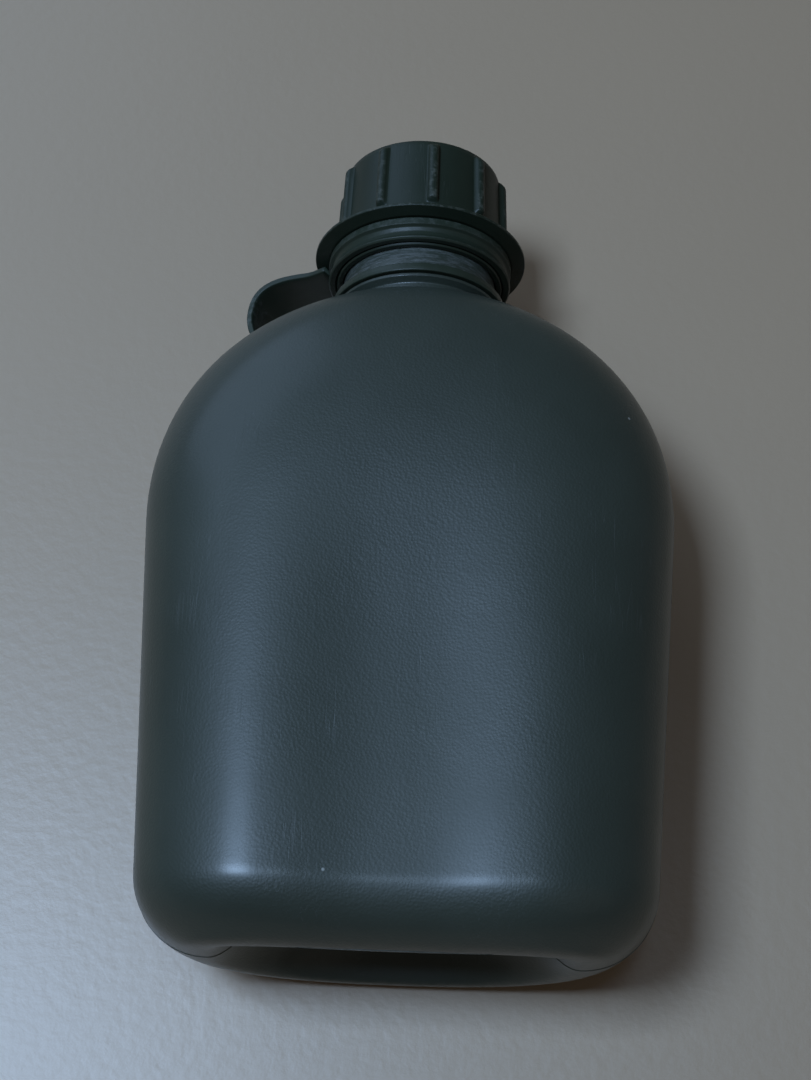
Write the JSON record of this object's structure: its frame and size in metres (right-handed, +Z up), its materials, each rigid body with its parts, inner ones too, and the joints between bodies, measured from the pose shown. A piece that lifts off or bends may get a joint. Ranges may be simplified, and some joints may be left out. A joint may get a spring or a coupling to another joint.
{
  "type": "canteen",
  "caption": "Hip canteen of moulded plastic with a kidney-shaped body, a ribbed screw cap and a looped strap that ties the cap to the neck.",
  "frame": {"origin": "centre of the bounding box's bottom face, on the ground under the canteen as it lies on its back", "axes": "+Y along the neck from the base to the cap, +Z up out of the hollow hip face, +X to the right seen from the base"},
  "size_m": [0.129, 0.209, 0.0691],
  "materials": {
    "bottle_plastic": "fine pebbled grain, satin",
    "cap_plastic": "smooth satin",
    "strap_plastic": "smooth satin",
    "gasket_rubber": "matte"
  },
  "bodies": {
    "bottle": {"bottle_body": "bottle_plastic", "bottle_neck": "bottle_plastic"},
    "gasket": {"cap_gasket": "gasket_rubber"},
    "cap": {"cap_shell": "cap_plastic"},
    "strap_base": {"strap_neck_ring": "strap_plastic", "strap_band": "strap_plastic"},
    "strap_top": {"strap_cap_ring": "strap_plastic"}
  },
  "joints": [
    {"name": "cap_rise", "type": "slide", "parent": "bottle", "child": "gasket", "axis": [0, 1, 0], "range_m": [0, 0.0075]},
    {"name": "cap_turn", "type": "hinge", "parent": "gasket", "child": "cap", "pos_m": [0, 0.08, 0.036], "axis": [0, 1, 0], "range_deg": [0, 540]},
    {"name": "strap_swivel", "type": "hinge", "parent": "bottle", "child": "strap_base", "pos_m": [0, 0.064, 0.036], "axis": [0, 1, 0], "continuous": true},
    {"name": "strap_rise", "type": "slide", "parent": "strap_base", "child": "strap_top", "axis": [0, 1, 0], "range_m": [0, 0.0075], "deforming": ["strap_band"]}
  ],
  "couplings": [
    {"joint": "cap_rise", "follows": "cap_turn", "m_per_rad": 0.00079577},
    {"joint": "strap_rise", "follows": "cap_turn", "m_per_rad": 0.00079577}
  ]
}
